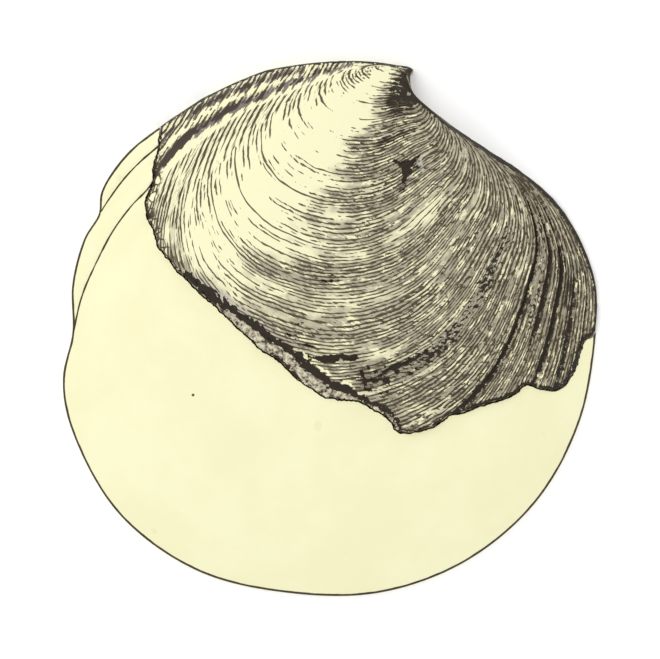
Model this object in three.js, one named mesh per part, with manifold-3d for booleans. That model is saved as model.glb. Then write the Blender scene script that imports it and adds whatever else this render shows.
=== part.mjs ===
// A fossil clam: one right valve, lying with its outer face up on its flat rim.
// X runs from the rear margin to the front margin, Y from the lower margin to the hinge, Z up.
// The upper and front part is the fossil shell. A plain restored part completes the valve.
import * as THREE from 'three';
import { mergeVertices } from 'three/addons/utils/BufferGeometryUtils.js';
import Module from 'manifold-3d';

// Driving dimensions, in millimetres and radians
const VALVE_RISE = 17.6; // how much the outer face rises above the rim's upper edge
const RIM_EDGE = 0.8; // height of the upright edge of the rim
const RIM_WIDTH = 2.8; // width of the flat under the rim
const HINGE_WIDTH = 7; // width of the flat under the hinge
const HOLLOW_SHARE = 0.8; // rise of the hollow as a share of the valve's own
const RESTORED_SHARE = 0.94; // rise of the restored part as a share of the valve's own
const JOINT_GAP = 0.3; // between the fossil and the restored part
const FURROW_DEPTH = 0.9; // of the two furrows behind the beak
const FURROW_WIDTH = 2.2;

// How the valve grew: the margin, shrunk towards the beak and turned about a slanted axis
const BEAK = new THREE.Vector2(12.75, 40.8);
const SHRINK = 1.614; // natural logarithm of the shrinking, per radian of turn
const AXIS_TILT = 0.64;
const AXIS_TURN = 0.377;
const UMBO_LIFT = 14.3; // keeps the umbo high above the hinge
const FULLNESS = 0.82; // under 1, the face is rounder towards the rim
const BACK_SQUASH = 0.6; // flattens what rises above the beak's level
const BEAK_HOOK = { lean: 0.65, fromTurn: 0.8, toTurn: 2 }; // the tip leans forward
const LUNULE = { x: 14.6, y: 37.6, reach: 2.6, depth: 0.8 }; // the hollow in front of the beak

// The wall that curls in from the outer face down to the hinge, as shares of its height
const CURL = { middleIn: 0.25, middleHeight: 0.55, footIn: 0.8 };

// How finely the faces are cut
const RINGS = 17;
const COLUMNS = 72;
const SMALLEST_RING = 0.02; // size of the last ring, as a share of the margin
const HOLLOW_RINGS = 9;
const HOLLOW_COLUMNS = 40;
const SMALLEST_HOLLOW_RING = 0.17;
const FURROW_STEPS = 40;
const BROKEN_STEPS = 64;

// The stretch of the margin that the hollow follows, and the stretch over which its rim widens
const HOLLOW_STRETCH = { from: 0.05, to: 0.955, widening: 0.12 };
const CUT_REACH = 50; // how far the cutting shapes reach sideways
const CUT_HEIGHT = 30;
const CUT_BELOW = 1; // how far they reach below the rim

// A smooth curve on the plane of the rim
function planCurve(points) {
  const places = points.map(([x, y]) => new THREE.Vector3(x, y, 0));
  return new THREE.CatmullRomCurve3(places, false, 'centripetal');
}

// The margin, from the hinge's front end along the front, lower and rear margins to its rear end
const MARGIN = planCurve([
  [12.8, 37.3], [14.8, 35.6], [19.4, 32.0], [24.8, 28.4], [30.6, 24.6], [35.9, 19.9], [39.8, 13.8],
  [42.2, 6.9], [42.2, -0.4], [39.7, -14.6], [32.9, -27.4], [21.8, -37.0], [8.1, -42.1], [-6.6, -42.2],
  [-21.3, -38.6], [-33.8, -29.4], [-41.3, -15.7], [-42.5, -8.1], [-41.0, -0.9], [-41.0, 6.9],
  [-39.1, 14.1], [-36.8, 18.0], [-36.4, 21.5], [-32.5, 27.4], [-26.7, 32.1], [-20.6, 36.2],
]);
const LOWEST_MARGIN_Y = -42.4;

// The fossil's broken edge, from behind the hinge along the break to the front margin
const BROKEN_EDGE = planCurve([
  [-27.4, 35.0], [-26.8, 31.4], [-27.4, 27.8], [-28.0, 23.4], [-29.1, 20.2], [-28.3, 16.2], [-27.3, 13.0],
  [-25.1, 10.3], [-22.6, 7.5], [-18.3, 3.5], [-13.9, -0.8], [-8.8, -4.7], [-4.8, -8.4], [-0.9, -10.9],
  [4.7, -11.7], [8.6, -13.9], [10.6, -16.4], [14.2, -16.3], [17.4, -15.0], [20.8, -13.6], [25.2, -12.0],
  [29.0, -10.6], [31.6, -9.2], [35.6, -9.9], [38.0, -7.8], [40.3, -2.0], [42.1, -0.4], [45.0, 0.6],
]);

// The two furrows, from the rear margin up to the umbo
const FURROWS = [
  planCurve([[-41.0, -0.9], [-35.6, 12.6], [-27.9, 23.2], [-21.4, 31.4], [-9.6, 37.2], [2.4, 41.4]]),
  planCurve([[-36.8, 18.0], [-32.4, 24.0], [-25.2, 31.6], [-17.0, 36.8], [-9.6, 39.4]]),
].map((curve) => curve.getSpacedPoints(FURROW_STEPS));

// The height that the growth law gives is scaled to the valve's own rise
const HIGHEST_TURN = Math.atan(FULLNESS / SHRINK);
const RISE_SCALE = VALVE_RISE / (
  Math.exp(-SHRINK * HIGHEST_TURN) * Math.sin(HIGHEST_TURN) ** FULLNESS
  * (UMBO_LIFT + BEAK.y - LOWEST_MARGIN_Y));

// Where a point of the margin was when the valve was smaller, by the turn since then
function grownPoint(marginPoint, turn, riseShare) {
  const size = Math.exp(-SHRINK * turn);
  const axisX = -Math.cos(AXIS_TILT) * Math.cos(AXIS_TURN);
  const axisY = -Math.cos(AXIS_TILT) * Math.sin(AXIS_TURN);
  const axisZ = -Math.sin(AXIS_TILT);
  const cos = Math.cos(turn);
  const sin = Math.sin(turn);
  const fromBeakX = marginPoint.x - BEAK.x;
  const fromBeakY = marginPoint.y - BEAK.y;
  const along = (axisX * fromBeakX + axisY * fromBeakY) * (1 - cos);
  const turnedX = fromBeakX * cos - axisZ * fromBeakY * sin + axisX * along;
  const turnedY = fromBeakY * cos + axisZ * fromBeakX * sin + axisY * along;
  const above = Math.max(0, size * turnedY);
  const lean = BEAK_HOOK.lean * THREE.MathUtils.smoothstep(turn, BEAK_HOOK.fromTurn, BEAK_HOOK.toTurn);
  const x = BEAK.x + lean + size * turnedX;
  const y = BEAK.y + size * turnedY - (1 - BACK_SQUASH) * above;
  const fromLunule = Math.hypot(x - LUNULE.x, y - LUNULE.y) / LUNULE.reach;
  const rise = riseShare * RISE_SCALE * size * sin ** FULLNESS * (UMBO_LIFT - fromBeakY);
  return new THREE.Vector3(x - LUNULE.depth * Math.exp(-(fromLunule ** 2)), y, RIM_EDGE + rise);
}

// The turns of the rings, which shrink by even steps
function ringTurns(count, smallest) {
  return Array.from({ length: count }, (_, i) => {
    const size = 1 + (smallest - 1) * (i / (count - 1));
    return -Math.log(size) / SHRINK;
  });
}

// How deep the furrows are at a point of the outer face
function furrowDepth(point) {
  let depth = 0;
  for (const furrow of FURROWS) {
    const distance = Math.min(...furrow.map((p) => Math.hypot(p.x - point.x, p.y - point.y)));
    depth += FURROW_DEPTH * Math.exp(-((distance / FURROW_WIDTH) ** 2));
  }
  return Math.min(depth, (point.z - RIM_EDGE) / 2);
}

// One closed loop of the outer face: the growth line, and the wall that curls down to the hinge
function outerLoop(marginPoints, turn, riseShare) {
  const line = marginPoints.map((p) => grownPoint(p, turn, riseShare));
  for (const point of line) point.z -= furrowDepth(point);
  const front = line[0];
  const rear = line[line.length - 1];
  return [
    new THREE.Vector3(front.x, front.y, 0),
    ...line,
    new THREE.Vector3(rear.x, rear.y - CURL.middleIn * rear.z, CURL.middleHeight * rear.z),
    new THREE.Vector3(rear.x, rear.y - CURL.footIn * rear.z, 0),
  ];
}

const wasm = await Module();
wasm.setup();

// A three.js geometry as a solid that can be joined and cut
function toSolid(geometry) {
  const bare = geometry.clone();
  bare.deleteAttribute('normal');
  bare.deleteAttribute('uv');
  const merged = mergeVertices(bare, 1e-4);
  const corners = merged.index.array;
  const kept = [];
  for (let i = 0; i < corners.length; i += 3) {
    const [a, b, c] = corners.slice(i, i + 3);
    if (a !== b && b !== c && c !== a) kept.push(a, b, c);
  }
  return new wasm.Manifold(new wasm.Mesh({
    numProp: 3,
    vertProperties: merged.attributes.position.array,
    triVerts: Uint32Array.from(kept),
  }));
}

// A solid as a three.js geometry
function toGeometry(solid) {
  const mesh = solid.getMesh();
  const geometry = new THREE.BufferGeometry();
  geometry.setAttribute('position', new THREE.BufferAttribute(mesh.vertProperties, 3));
  geometry.setIndex(new THREE.BufferAttribute(mesh.triVerts, 1));
  const faceted = geometry.toNonIndexed();
  faceted.computeVertexNormals();
  return faceted;
}

// A closed solid from a stack of loops of equal length, capped at both ends
function stackedSolid(loops) {
  const length = loops[0].length;
  const lastStart = (loops.length - 1) * length;
  const tip = lastStart + length;
  const faces = [];
  for (let start = 0; start < lastStart; start += length) {
    for (let j = 0; j < length; j++) {
      const a = start + j;
      const b = start + ((j + 1) % length);
      faces.push([a, b, b + length], [a, b + length, a + length]);
    }
  }
  for (let j = 0; j < length; j++) {
    faces.push([lastStart + j, lastStart + ((j + 1) % length), tip]);
  }
  const foot = loops[0].map((p) => new THREE.Vector2(p.x, p.y));
  const turnsLeft = THREE.ShapeUtils.area(foot) > 0;
  for (const [a, b, c] of THREE.ShapeUtils.triangulateShape(foot, [])) {
    faces.push(turnsLeft ? [a, c, b] : [a, b, c]);
  }
  const centre = new THREE.Vector3();
  for (const point of loops[loops.length - 1]) centre.addScaledVector(point, 1 / length);
  const outward = turnsLeft ? faces : faces.map(([a, b, c]) => [a, c, b]);
  const geometry = new THREE.BufferGeometry();
  geometry.setFromPoints([...loops.flat(), centre]);
  geometry.setIndex(outward.flat());
  return toSolid(geometry);
}

// The whole valve without its hollow
function valveSolid(riseShare) {
  const margin = MARGIN.getSpacedPoints(COLUMNS - 1);
  const rings = ringTurns(RINGS, SMALLEST_RING).map((turn) => outerLoop(margin, turn, riseShare));
  const foot = rings[0].map((p, j) => (j <= COLUMNS ? new THREE.Vector3(p.x, p.y, 0) : p.clone()));
  return stackedSolid([foot, ...rings]);
}

// The hollow under the valve, which starts below the rim
function hollowSolid() {
  const { from, to, widening } = HOLLOW_STRETCH;
  const margin = Array.from({ length: HOLLOW_COLUMNS }, (_, j) => {
    const place = from + (to - from) * (j / (HOLLOW_COLUMNS - 1));
    const point = MARGIN.getPointAt(place);
    const awayFromHinge = THREE.MathUtils.smoothstep(Math.min(place - from, to - place), 0, widening);
    const inset = THREE.MathUtils.lerp(HINGE_WIDTH, RIM_WIDTH, awayFromHinge);
    return point.setLength(point.length() - inset);
  });
  const rings = ringTurns(HOLLOW_RINGS, SMALLEST_HOLLOW_RING).map((turn) => margin.map((p) => {
    const point = grownPoint(p, turn, HOLLOW_SHARE);
    return point.setZ(point.z - RIM_EDGE);
  }));
  const below = rings[0].map((p) => new THREE.Vector3(p.x, p.y, -CUT_BELOW));
  return stackedSolid([below, ...rings]);
}

// An upright prism over the fossil's side of the broken edge, widened by an offset
function fossilSide(offset) {
  const edge = BROKEN_EDGE.getSpacedPoints(BROKEN_STEPS);
  const outline = edge.map((p, i) => {
    const before = edge[Math.max(i - 1, 0)];
    const after = edge[Math.min(i + 1, BROKEN_STEPS)];
    const along = after.clone().sub(before).normalize();
    return new THREE.Vector2(p.x + along.y * offset, p.y - along.x * offset);
  });
  outline.push(new THREE.Vector2(CUT_REACH, outline[BROKEN_STEPS].y));
  outline.push(new THREE.Vector2(CUT_REACH, CUT_REACH));
  outline.push(new THREE.Vector2(outline[0].x, CUT_REACH));
  const prism = new THREE.ExtrudeGeometry(
    new THREE.Shape(outline), { depth: CUT_HEIGHT, bevelEnabled: false });
  prism.translate(0, 0, -CUT_BELOW);
  return toSolid(prism);
}

// Puts a named part into the model
function addPart(group, name, solid, look) {
  const mesh = new THREE.Mesh(toGeometry(solid), new THREE.MeshStandardMaterial(look));
  mesh.name = name;
  group.add(mesh);
}

const hollow = hollowSolid();
const fossil = valveSolid(1).subtract(hollow).intersect(fossilSide(0));
const restored = valveSolid(RESTORED_SHARE).subtract(hollow).subtract(fossilSide(JOINT_GAP));

const clam = new THREE.Group();
addPart(clam, 'fossil_shell', fossil, { color: 0xb5ad8e, roughness: 0.7, metalness: 0 });
addPart(clam, 'restored_part', restored, { color: 0xf8f5cb, roughness: 0.85, metalness: 0 });

export default clam;
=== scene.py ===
# A fossil clam: one right valve lying on its rim, part fossil shell and part plain restoration.
# Sizes are in millimetres until a mesh is made, and in metres from there on.
import math
from functools import partial

import bmesh
import bpy
import numpy as np
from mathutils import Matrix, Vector
from mathutils.kdtree import KDTree


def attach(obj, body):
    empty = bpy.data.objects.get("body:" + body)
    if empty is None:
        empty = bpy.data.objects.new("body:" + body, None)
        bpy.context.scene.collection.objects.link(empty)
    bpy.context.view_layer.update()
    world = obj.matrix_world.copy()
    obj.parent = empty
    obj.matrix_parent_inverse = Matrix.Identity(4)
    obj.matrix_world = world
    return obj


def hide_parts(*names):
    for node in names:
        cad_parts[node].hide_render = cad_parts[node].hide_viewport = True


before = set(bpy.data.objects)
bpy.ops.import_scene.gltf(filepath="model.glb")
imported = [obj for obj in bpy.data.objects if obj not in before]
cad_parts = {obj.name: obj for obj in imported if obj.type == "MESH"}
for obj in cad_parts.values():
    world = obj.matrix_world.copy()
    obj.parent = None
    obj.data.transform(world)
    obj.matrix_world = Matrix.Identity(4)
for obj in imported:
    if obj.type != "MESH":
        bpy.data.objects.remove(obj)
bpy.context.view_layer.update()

MM = 0.001

# The valve's form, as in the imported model
VALVE_RISE = 17.6
RIM_EDGE = 0.8  # the height of the upright foot all round
RIM_WIDTH = 2.8
HINGE_WIDTH = 7.0
HOLLOW_SHARE = 0.8  # the hollow's rise as a share of the valve's
HOLLOW_FROM, HOLLOW_TO = 0.05, 0.955  # the part of the margin that the hollow lies along
HOLLOW_SMALLEST = 0.17
RESTORED_SHARE = 0.94  # the restored part's rise as a share of the fossil's
JOINT_GAP = 0.3
BEAK = np.array([12.75, 40.8])
SHRINK = 1.614
AXIS_TILT = 0.64
AXIS_TURN = 0.377
UMBO_LIFT = 14.3
FULLNESS = 0.82
BACK_SQUASH = 0.6
HOOK_LEAN, HOOK_FROM, HOOK_TO = 0.65, 0.8, 2.0
LUNULE = np.array([14.6, 37.6])
LUNULE_REACH, LUNULE_DEPTH = 2.6, 0.8
LOWEST_MARGIN_Y = -42.4
SMALLEST_SIZE = 0.02
WALL_ROWS = 5
WALL_INSET, WALL_CURL = 0.8, 1.6  # how the wall behind the hinge curls in
BUNCHING, BUNCHED_UNTIL = 0.75, 0.3  # how strongly growth lines bunch in front, and until where
SKIN = 0.06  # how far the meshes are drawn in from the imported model
MEND_REACH = 0.4 * MM  # how near the outer face a point that a cut made takes its values

# The margin, from in front of the beak round to behind it. Places along it run from 0 to 1.
MARGIN = [
    (12.8, 37.3), (14.8, 35.6), (19.4, 32.0), (24.8, 28.4), (30.6, 24.6), (35.9, 19.9), (39.8, 13.8),
    (42.2, 6.9), (42.2, -0.4), (39.7, -14.6), (32.9, -27.4), (21.8, -37.0), (8.1, -42.1), (-6.6, -42.2),
    (-21.3, -38.6), (-33.8, -29.4), (-41.3, -15.7), (-42.5, -8.1), (-41.0, -0.9), (-41.0, 6.9),
    (-39.1, 14.1), (-36.8, 18.0), (-36.4, 21.5), (-32.5, 27.4), (-26.7, 32.1), (-20.6, 36.2),
]

# The fossil's broken edge, from behind the hinge along the break to the front margin
BROKEN_EDGE = [
    (-27.6, 37.0), (-26.9, 31.6), (-27.2, 28.6), (-27.4, 27.4), (-27.9, 25.4), (-28.0, 23.4), (-28.6, 21.6),
    (-29.1, 20.2), (-29.1, 18.4), (-28.4, 16.3), (-27.8, 14.6), (-27.2, 12.8), (-26.1, 11.5), (-25.1, 10.3),
    (-24.2, 9.0), (-22.6, 7.5), (-20.8, 5.6), (-18.3, 3.5), (-16.7, 2.0), (-15.1, 0.4), (-13.9, -0.7),
    (-12.4, -2.0), (-10.8, -3.6), (-8.8, -4.7), (-6.8, -6.5), (-4.9, -8.3), (-2.9, -9.6), (-0.9, -10.9),
    (2.3, -11.4), (4.7, -11.7), (6.6, -12.8), (8.6, -13.9), (9.7, -15.0), (10.4, -16.2), (11.8, -16.7),
    (14.2, -16.3), (16.1, -15.8), (17.4, -15.0), (19.0, -13.8), (20.8, -13.5), (22.9, -12.7), (25.2, -12.0),
    (27.4, -11.3), (29.3, -10.4), (30.8, -9.1), (31.7, -9.0), (33.2, -9.6), (35.6, -9.9), (37.0, -9.2),
    (38.0, -7.8), (38.8, -6.4), (39.6, -3.6), (40.3, -2.0), (41.5, -1.2), (42.1, -0.4), (46.0, 1.0),
]

# The two furrows behind the beak, from the rear margin up to the umbo
LOWER_FURROW = [
    (-40.8, -0.8), (-39.4, 5.0), (-37.3, 9.9), (-34.6, 15.1), (-31.6, 19.2), (-28.6, 22.4), (-26.6, 26.2),
    (-23.4, 29.5), (-20.1, 31.8), (-15.8, 34.6), (-9.6, 37.3), (-3.6, 39.5), (3.2, 41.7),
]
UPPER_FURROW = [
    (-36.7, 17.8), (-35.4, 19.9), (-32.6, 23.7), (-29.9, 26.5), (-27.0, 29.0), (-25.0, 31.4), (-20.7, 34.8),
    (-17.0, 36.8), (-13.4, 38.2), (-9.6, 39.5), (-4.8, 40.9),
]

# The growth lines
LINES = 165  # from the beak to the margin
ROWS_PER_LINE = 3
FOSSIL_COLUMNS = 341
HALF_COLUMNS_UNDER = 0.5  # the size of valve under which every second column is left out
QUARTER_COLUMNS_UNDER = 0.25
RESTORED_ROWS = 150
RESTORED_COLUMNS = 300
MARGIN_LENGTH = 240.0
WALL_STEP = 0.9  # how far the pattern runs on over each step of the wall behind the hinge
WALL_TONE = 0.12
FOOT_LINES = 1.5  # how many more growth lines run along the foot of the rim

# The slanting strokes on the two folds behind the lower furrow
STROKE_SLOPE = math.radians(57)
SLANT_PITCH = 0.62

# The stripe of painted highlight: where round the margin it starts, and how far back it swings as the valve
# grows
HIGHLIGHT_START, HIGHLIGHT_SWING = 0.42, 0.55

# Deep halts of growth: where they lie, half width as a share of the valve, depth, and their two ends
HALTS = [
    (0.749, 0.0085, 0.55, 0.10, 0.40),
    (0.804, 0.0085, 0.50, 0.10, 0.30),
    (0.852, 0.0095, 0.55, 0.11, 0.32),
    (0.908, 0.0058, 0.35, 0.17, 0.31),
    (0.955, 0.0030, 0.25, 0.14, 0.28),
]

# Single growth lines that cross the painted highlight stripe: their number from the beak, and their two ends
LONG_LINES = [(54, 0.50, 0.66), (66, 0.50, 0.80), (78, 0.58, 0.76), (86, 0.52, 0.60)]

# Dark scars, each a stroke from one point to another with a half width at both ends
SCARS = [
    (12.2, 25.6, 12.4, 25.0, 1.0, 0.9), (12.0, 25.8, 10.1, 26.4, 0.5, 0.15),
    (12.1, 25.3, 11.7, 21.9, 0.6, 0.25), (12.6, 25.8, 14.6, 27.7, 0.45, 0.15),
    (12.8, 25.4, 14.4, 25.6, 0.4, 0.1), (11.7, 22.2, 11.2, 21.7, 0.3, 0.2),
    (-3.4, -4.7, -0.8, -5.1, 0.15, 0.7), (-0.8, -5.1, 4.4, -4.9, 0.75, 0.4),
    (5.1, -6.6, 5.1, -7.7, 0.2, 0.38), (5.1, -7.7, 5.6, -8.6, 0.35, 0.36),
    (5.6, -8.6, 5.5, -9.6, 0.3, 0.15), (6.2, -6.5, 6.9, -6.2, 0.3, 0.15),
    (7.2, -8.2, 8.9, -6.9, 0.25, 0.35), (8.9, -6.9, 10.7, -6.1, 0.35, 0.5),
    (10.7, -6.1, 12.8, -5.3, 0.5, 0.42), (12.8, -5.3, 15.8, -3.5, 0.4, 0.12),
    (10.4, -6.6, 10.7, -7.3, 0.35, 0.45), (10.7, -7.3, 12.9, -7.2, 0.35, 0.15),
    (8.9, -8.5, 5.8, -8.4, 0.5, 0.2), (5.5, -9.9, 6.9, -10.2, 0.3, 0.12),
    (8.2, -10.6, 9.6, -10.0, 0.22, 0.1), (6.4, -7.3, 7.6, -7.0, 0.18, 0.1),
    (13.6, -6.6, 15.0, -5.9, 0.2, 0.1), (-1.7, 7.3, 1.2, 7.4, 0.2, 0.14),
    (-4.1, -3.0, -2.6, -3.1, 0.2, 0.14), (-7.6, 0.9, -4.4, 0.6, 0.1, 0.16),
    (-6.9, -1.1, -5.6, -1.5, 0.12, 0.2),
]

# The painted shadow under the hook of the beak, darkest of all, and the line down the beak's front, as
# strokes
HOOK_SHADE = [
    (11.9, 40.2, 11.4, 38.8, 0.15, 0.75), (11.4, 38.8, 12.2, 37.4, 0.7, 0.45),
    (12.2, 37.2, 9.6, 36.3, 0.4, 0.1),
]
BEAK_LINE = (12.8, 40.9, 12.7, 37.6, 0.55, 0.55)

# Pale chips: centre and radius
CHIPS = [(14.4, 26.7, 0.38), (14.2, 25.9, 0.42), (14.6, 25.0, 0.34), (12.9, 23.9, 0.36), (1.75, -5.45, 0.36)]
# The darker band round the lowest scars is added to the tone, the shell's painted light and shade
DARKER_BAND = (5.5, -8.4, 14.0, -5.0, 1.7, 1.7)  # a darker band round the lowest scars, as a stroke
SPECK = (-21.8, -10.75)  # on the restored part

# The ledge where a layer has flaked off along the break. Each pair is a place, as a share of the
# break's length, and a size there: the ledge's reach, its dark step's width and the edge line's width.
# The step's dark is painted shadow; the wide edge line near the front is the broken wall's painted shadow
BREAK_PLACES = 900
LEDGE_REACH = [
    (0.31, 0.0), (0.35, 0.6), (0.37, 1.2), (0.44, 1.8), (0.5, 1.6), (0.54, 1.1), (0.56, 0.1), (0.6, 0.45),
    (0.63, 0.45), (0.645, 0.25),
]
STEP_WIDTH = [
    (0.25, 0.0), (0.265, 0.95), (0.29, 1.6), (0.31, 1.7), (0.35, 1.35), (0.43, 1.25), (0.47, 1.5),
    (0.54, 1.6), (0.57, 0.9), (0.635, 0.65), (0.655, 0.0),
]
EDGE_LINE_WIDTH = [
    (0.04, 0.15), (0.09, 0.22), (0.12, 0.45), (0.16, 0.2), (0.25, 0.1), (0.41, 0.06), (0.43, 0.4),
    (0.47, 0.35), (0.49, 0.06), (0.64, 0.1), (0.68, 0.4), (0.85, 0.5), (1, 0.5),
]

# Depths inside a dark mark, in mm: of a point nowhere near one, and of a part that stays unmarked
FAR_OUTSIDE = -9.0
UNMARKED = -0.8

# The studio
PICTURE_WIDTH = 660  # in pixels
MM_PER_PIXEL = 85 / 536
PICTURE_MIDDLE = (-0.08, -0.36)
CAMERA_HEIGHT = 0.4  # in metres, as is the lamp's place
FLOOR_REACH, FLOOR_DROP = 900, 0.05
SKY_STRENGTH = 1.1
LAMP_PLACE = (-0.3, 0.34, 0.5)
LAMP_STRENGTH, LAMP_SPREAD = 0.5, math.radians(35)
STUDIO_LIGHT = 1.2  # how much brighter than its own colour a surface looks in this light


def lattice_noise(across, along, seed):
    """Smooth noise from -1 to 1 that changes over one unit of either coordinate."""
    size = 128
    lattice = np.random.default_rng(seed).uniform(-1, 1, (size, size))
    across, along = np.broadcast_arrays(across, along)
    i, j = np.floor(across).astype(int), np.floor(along).astype(int)
    a, b = across - i, along - j
    a, b = a * a * (3 - 2 * a), b * b * (3 - 2 * b)
    i, j, i_next, j_next = i % size, j % size, (i + 1) % size, (j + 1) % size
    near = lattice[i, j] * (1 - b) + lattice[i, j_next] * b
    far = lattice[i_next, j] * (1 - b) + lattice[i_next, j_next] * b
    return near * (1 - a) + far * a


def ramp(value, start, end):
    """A smooth step from 0 at start to 1 at end."""
    t = np.clip((value - start) / (end - start), 0, 1)
    return t * t * (3 - 2 * t)


def plateau(value, start, full, fall, end):
    """0 up to start, 1 from full to fall, and 0 again from end."""
    return ramp(value, start, full) * (1 - ramp(value, fall, end))


def bell(value, centre, width):
    return np.exp(-(((value - centre) / width) ** 2))


def plan_noise(plan, per_mm, seed):
    return lattice_noise(plan[..., 0] * per_mm, plan[..., 1] * per_mm, seed)


def smooth_curve(points, count):
    """Evenly spaced places on a centripetal curve through the points."""
    steps = 24
    p = np.array(points, float)
    p = np.vstack([2 * p[0] - p[1], p, 2 * p[-1] - p[-2]])
    t = np.linspace(0, 1, steps, endpoint=False)[:, None]
    dense = []
    for a, b, c, d in zip(p, p[1:], p[2:], p[3:]):
        ab, bc, cd = (math.sqrt(math.dist(q, r)) for q, r in ((a, b), (b, c), (c, d)))
        leave = bc * ((b - a) / ab - (c - a) / (ab + bc) + (c - b) / bc)
        arrive = bc * ((c - b) / bc - (d - b) / (bc + cd) + (d - c) / cd)
        dense.append(
            (2 * t**3 - 3 * t**2 + 1) * b + (t**3 - 2 * t**2 + t) * leave
            + (3 * t**2 - 2 * t**3) * c + (t**3 - t**2) * arrive
        )
    dense = np.vstack([*dense, p[-2][None]])
    travelled = np.r_[0, np.cumsum(np.hypot(*np.diff(dense, axis=0).T))]
    places = np.linspace(0, travelled[-1], count)
    return np.stack([np.interp(places, travelled, dense[:, k]) for k in (0, 1)], 1)


def nearest(points, curve):
    """How far each point is from a curve, and which place on the curve is nearest."""
    flat = points.reshape(-1, 2).astype(np.float32)
    curve = curve.astype(np.float32)
    skip = 12
    rough = curve[::skip]
    distance = np.empty(len(flat), np.float32)
    place = np.empty(len(flat), int)
    chunk = 20000
    for start in range(0, len(flat), chunk):
        part = flat[start:start + chunk]
        squares = (part[:, :1] - rough[:, 0]) ** 2 + (part[:, 1:] - rough[:, 1]) ** 2
        around_best = squares.argmin(1)[:, None] * skip + np.arange(-skip, skip + 1)
        around_best = np.clip(around_best, 0, len(curve) - 1)
        squares = ((part[:, None] - curve[around_best]) ** 2).sum(-1)
        best = squares.argmin(1)
        rows = np.arange(len(part))
        place[start:start + chunk] = around_best[rows, best]
        distance[start:start + chunk] = np.sqrt(squares[rows, best])
    return distance.reshape(points.shape[:-1]).astype(float), place.reshape(points.shape[:-1])


def side_of(points, curve):
    """The distance to a curve, positive on its left and negative on its right."""
    distance, place = nearest(points, curve)
    along = np.gradient(curve, axis=0)[place]
    away = points - curve[place]
    return distance * np.sign(along[..., 0] * away[..., 1] - along[..., 1] * away[..., 0])


def stroke_depth(points, strokes):
    """How far inside a set of tapering strokes each point is."""
    depth = np.full(points.shape[:-1], FAR_OUTSIDE)
    for x0, y0, x1, y1, start_width, end_width in strokes:
        run = np.array([x1 - x0, y1 - y0])
        offset = points - (x0, y0)
        share = np.clip((offset @ run) / (run @ run), 0, 1)
        width = start_width + (end_width - start_width) * share
        depth = np.maximum(depth, width - np.linalg.norm(offset - share[..., None] * run, axis=-1))
    return depth


def rise_scale():
    """What brings the highest point of the valve to its rise."""
    turn = math.atan(FULLNESS / SHRINK)
    reach = UMBO_LIFT + BEAK[1] - LOWEST_MARGIN_Y
    return VALVE_RISE / (math.exp(-SHRINK * turn) * math.sin(turn) ** FULLNESS * reach)


def grown(margin, size, rise_share):
    """Where points of the margin were when the valve had a given size, as a share of its last."""
    turn = -np.log(size) / SHRINK
    axis_x = -math.cos(AXIS_TILT) * math.cos(AXIS_TURN)
    axis_y = -math.cos(AXIS_TILT) * math.sin(AXIS_TURN)
    axis_z = -math.sin(AXIS_TILT)
    cos, sin = np.cos(turn), np.sin(turn)
    from_beak_x, from_beak_y = (margin - BEAK).T
    along = (axis_x * from_beak_x + axis_y * from_beak_y) * (1 - cos)
    x = BEAK[0] + size * (from_beak_x * cos - axis_z * from_beak_y * sin + axis_x * along)
    y = size * (from_beak_y * cos + axis_z * from_beak_x * sin + axis_y * along)
    y = BEAK[1] + y - (1 - BACK_SQUASH) * np.maximum(0, y)
    x = x + HOOK_LEAN * ramp(turn, HOOK_FROM, HOOK_TO)
    from_lunule = np.hypot(x - LUNULE[0], y - LUNULE[1]) / LUNULE_REACH
    rise = rise_share * rise_scale() * size * np.abs(sin) ** FULLNESS * (UMBO_LIFT - from_beak_y)
    return np.stack([x - LUNULE_DEPTH * np.exp(-(from_lunule**2)), y, RIM_EDGE + rise], -1)


def drawn_in(margin):
    """The margin a skin's thickness further in."""
    length = np.linalg.norm(margin, axis=1)
    return margin * (1 - SKIN / length)[:, None]


def without_notches(margin):
    """The margin as it was before the furrows notched it behind."""
    reach = len(margin) // 12
    weights = np.hanning(2 * reach + 1)
    weights /= weights.sum()
    padded = np.pad(margin, ((reach, reach), (0, 0)), mode="edge")
    even = np.stack([np.convolve(padded[:, k], weights, "valid") for k in (0, 1)], 1)
    place = np.linspace(0, 1, len(margin))
    share = plateau(place, 0.64, 0.72, 0.9, 0.95)
    return margin + share[:, None] * (even - margin)


def size_at(growth, around):
    """The size whose outline a growth line follows: lines run out into the margin in front of the beak."""
    bunching = BUNCHING * np.clip(1 - around / BUNCHED_UNTIL, 0, 1) ** 2
    return growth + bunching * (1 - (1 - growth) ** 3 - growth)


def seen_outline():
    """The outline that the valve makes when seen from above, as a closed curve."""
    bins, places_per_bin = 720, 6
    margin = drawn_in(smooth_curve(MARGIN, 3000))
    size = np.linspace(1, SMALLEST_SIZE, 160)[:, None]
    flat = grown(margin, size, 1)[..., :2].reshape(-1, 2)
    reach = np.linalg.norm(flat, axis=1)
    turn = np.floor((np.arctan2(flat[:, 1], flat[:, 0]) / (2 * math.pi) + 0.5) * bins).astype(int) % bins
    order = np.argsort(reach)
    farthest = np.zeros(bins, int)
    farthest[turn[order]] = order
    corners = flat[farthest]
    corners = np.vstack([corners, corners[:1]])
    places = np.linspace(0, bins, places_per_bin * bins)
    return np.stack([np.interp(places, np.arange(bins + 1), corners[:, k]) for k in (0, 1)], 1)


def surface_normals(grid):
    """The outward direction at each point of a grid of rows and columns."""
    normal = np.cross(np.gradient(grid, axis=0), np.gradient(grid, axis=1))
    length = np.linalg.norm(normal, axis=-1, keepdims=True)
    normal /= np.maximum(length, 1e-9)
    return normal if np.median(normal[..., 2]) > 0 else -normal


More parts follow.
